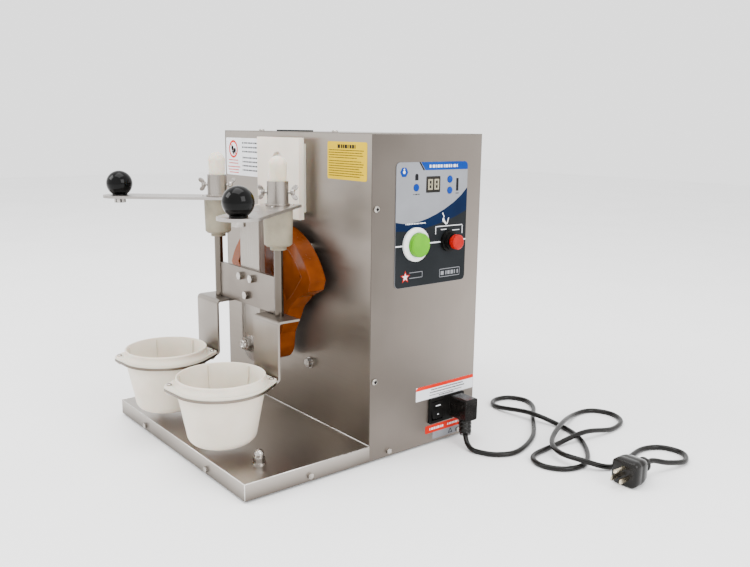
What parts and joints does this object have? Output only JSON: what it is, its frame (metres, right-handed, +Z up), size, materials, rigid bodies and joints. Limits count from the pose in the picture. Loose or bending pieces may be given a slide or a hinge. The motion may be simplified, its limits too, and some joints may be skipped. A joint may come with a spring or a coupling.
{
  "type": "two-cup drink shaking machine",
  "caption": "Countertop drink shaking machine: steel housing with a crank-driven frame holding cup bowls under swing-over clamp arms, above a front tray.",
  "frame": {"origin": "centre of the base footprint (tray and housing) on the floor plane that the rubber feet stand on", "axes": "+Z up, -Y towards the user (the tray side), +X towards the control panel side"},
  "size_m": [0.6345, 0.626, 0.4258],
  "materials": {
    "stainless": "brushed",
    "zinc_hardware": "satin",
    "rubber": "matte",
    "cord_sheath": "satin",
    "white_plastic": "satin",
    "bowl_plastic": "satin",
    "sleeve_plastic": "matte",
    "knob_plastic": "gloss",
    "orange_paint": "gloss",
    "inner_steel": "matte",
    "motor_paint": "satin",
    "board": "satin",
    "overlay": "satin",
    "display": "gloss",
    "white_button": "gloss",
    "black_plastic": "satin",
    "green_plastic": "gloss",
    "red_plastic": "gloss",
    "blue_plastic": "satin",
    "bronze": "satin"
  },
  "bodies": {
    "housing": {"base_tray": "stainless", "rubber_feet": "rubber", "foot_studs": "zinc_hardware", "tray_bolts": "zinc_hardware", "front_panel": "stainless", "right_cover": "stainless", "left_cover": "stainless", "back_cover": "stainless", "top_cover": "stainless", "cover_screws": "zinc_hardware", "guide_slab": "white_plastic", "inner_frame": "inner_steel", "bearings": "inner_steel", "motor": "motor_paint", "drive_belt": "rubber", "control_board": "board", "control_panel": "overlay", "display_module": "display", "start_bezel": "white_button", "stop_base": "black_plastic", "inlet_module": "black_plastic", "power_connector": "cord_sheath", "power_cord": "cord_sheath", "power_plug": "cord_sheath"},
    "motor_rotor": {"motor_shaft": "zinc_hardware", "motor_pulley": "inner_steel"},
    "crank": {"crank_shaft": "zinc_hardware", "crank_pulley": "inner_steel", "counterweight": "orange_paint", "crank_pin": "zinc_hardware"},
    "shaker_frame": {"guide_bar": "stainless", "pin_bush": "bronze", "guide_roller": "white_plastic", "cross_plate": "stainless", "frame_bolts": "zinc_hardware", "clamp_rods": "zinc_hardware", "left_bracket": "stainless", "right_bracket": "stainless", "left_bowl": "bowl_plastic", "right_bowl": "bowl_plastic"},
    "start_cap": {"start_button": "green_plastic"},
    "stop_cap": {"stop_button": "red_plastic"},
    "set_key": {"key_set": "blue_plastic"},
    "up_key": {"key_up": "blue_plastic"},
    "down_key": {"key_down": "blue_plastic"},
    "power_rocker": {"rocker_switch": "black_plastic"},
    "left_clamp": {"left_sleeve": "sleeve_plastic", "left_collar": "stainless", "left_dome": "white_plastic"},
    "left_lever": {"left_arm": "stainless", "left_knob": "knob_plastic"},
    "left_front_screw": {"left_wing_screw_front": "zinc_hardware"},
    "left_back_screw": {"left_wing_screw_back": "zinc_hardware"},
    "right_clamp": {"right_sleeve": "sleeve_plastic", "right_collar": "stainless", "right_dome": "white_plastic"},
    "right_lever": {"right_arm": "stainless", "right_knob": "knob_plastic"},
    "right_front_screw": {"right_wing_screw_front": "zinc_hardware"},
    "right_back_screw": {"right_wing_screw_back": "zinc_hardware"}
  },
  "joints": [
    {"name": "crank_spin", "type": "hinge", "parent": "housing", "child": "crank", "pos_m": [0, -0.0265, 0.186], "axis": [0, 1, 0], "continuous": true},
    {"name": "motor_spin", "type": "hinge", "parent": "housing", "child": "motor_rotor", "pos_m": [-0.06, 0.0425, 0.085], "axis": [0, 1, 0], "continuous": true},
    {"name": "frame_orbit", "type": "hinge", "parent": "crank", "child": "shaker_frame", "pos_m": [0, -0.064, 0.133], "axis": [0, 1, 0], "continuous": true},
    {"name": "left_clamp_height", "type": "slide", "parent": "shaker_frame", "child": "left_clamp", "axis": [0, 0, 1], "range_m": [-0.03, 0.02]},
    {"name": "left_arm_swing", "type": "hinge", "parent": "left_clamp", "child": "left_lever", "pos_m": [-0.08, -0.0725, 0.33], "axis": [0, 0, 1], "range_deg": [-50, 45]},
    {"name": "left_front_screw_turn", "type": "hinge", "parent": "left_clamp", "child": "left_front_screw", "pos_m": [-0.09286, -0.08782, 0.348], "axis": [0.6428, 0.766, 0], "continuous": true},
    {"name": "left_back_screw_turn", "type": "hinge", "parent": "left_clamp", "child": "left_back_screw", "pos_m": [-0.06714, -0.05718, 0.348], "axis": [0.6428, 0.766, 0], "continuous": true},
    {"name": "right_clamp_height", "type": "slide", "parent": "shaker_frame", "child": "right_clamp", "axis": [0, 0, 1], "range_m": [-0.03, 0.02]},
    {"name": "right_arm_swing", "type": "hinge", "parent": "right_clamp", "child": "right_lever", "pos_m": [0.08, -0.0725, 0.33], "axis": [0, 0, 1], "range_deg": [-45, 50]},
    {"name": "right_front_screw_turn", "type": "hinge", "parent": "right_clamp", "child": "right_front_screw", "pos_m": [0.06714, -0.08782, 0.348], "axis": [0.6428, 0.766, 0], "continuous": true},
    {"name": "right_back_screw_turn", "type": "hinge", "parent": "right_clamp", "child": "right_back_screw", "pos_m": [0.09286, -0.05718, 0.348], "axis": [0.6428, 0.766, 0], "continuous": true},
    {"name": "start_press", "type": "slide", "parent": "housing", "child": "start_cap", "axis": [-1, 0, 0], "range_m": [0, 0.0025], "stiffness_N_per_m": 800, "springref_m": -0.001},
    {"name": "stop_press", "type": "slide", "parent": "housing", "child": "stop_cap", "axis": [-1, 0, 0], "range_m": [0, 0.003], "stiffness_N_per_m": 800, "springref_m": -0.001},
    {"name": "set_key_press", "type": "slide", "parent": "housing", "child": "set_key", "axis": [-1, 0, 0], "range_m": [0, 0.0004], "stiffness_N_per_m": 2000, "springref_m": -0.0002},
    {"name": "up_key_press", "type": "slide", "parent": "housing", "child": "up_key", "axis": [-1, 0, 0], "range_m": [0, 0.0004], "stiffness_N_per_m": 2000, "springref_m": -0.0002},
    {"name": "down_key_press", "type": "slide", "parent": "housing", "child": "down_key", "axis": [-1, 0, 0], "range_m": [0, 0.0004], "stiffness_N_per_m": 2000, "springref_m": -0.0002},
    {"name": "rocker_tilt", "type": "hinge", "parent": "housing", "child": "power_rocker", "pos_m": [0.182, 0.1145, 0.0485], "axis": [0, 1, 0], "range_deg": [0, 16]}
  ],
  "couplings": [
    {"joint": "frame_orbit", "follows": "crank_spin", "ratio": -1},
    {"joint": "motor_spin", "follows": "crank_spin", "ratio": 3}
  ]
}
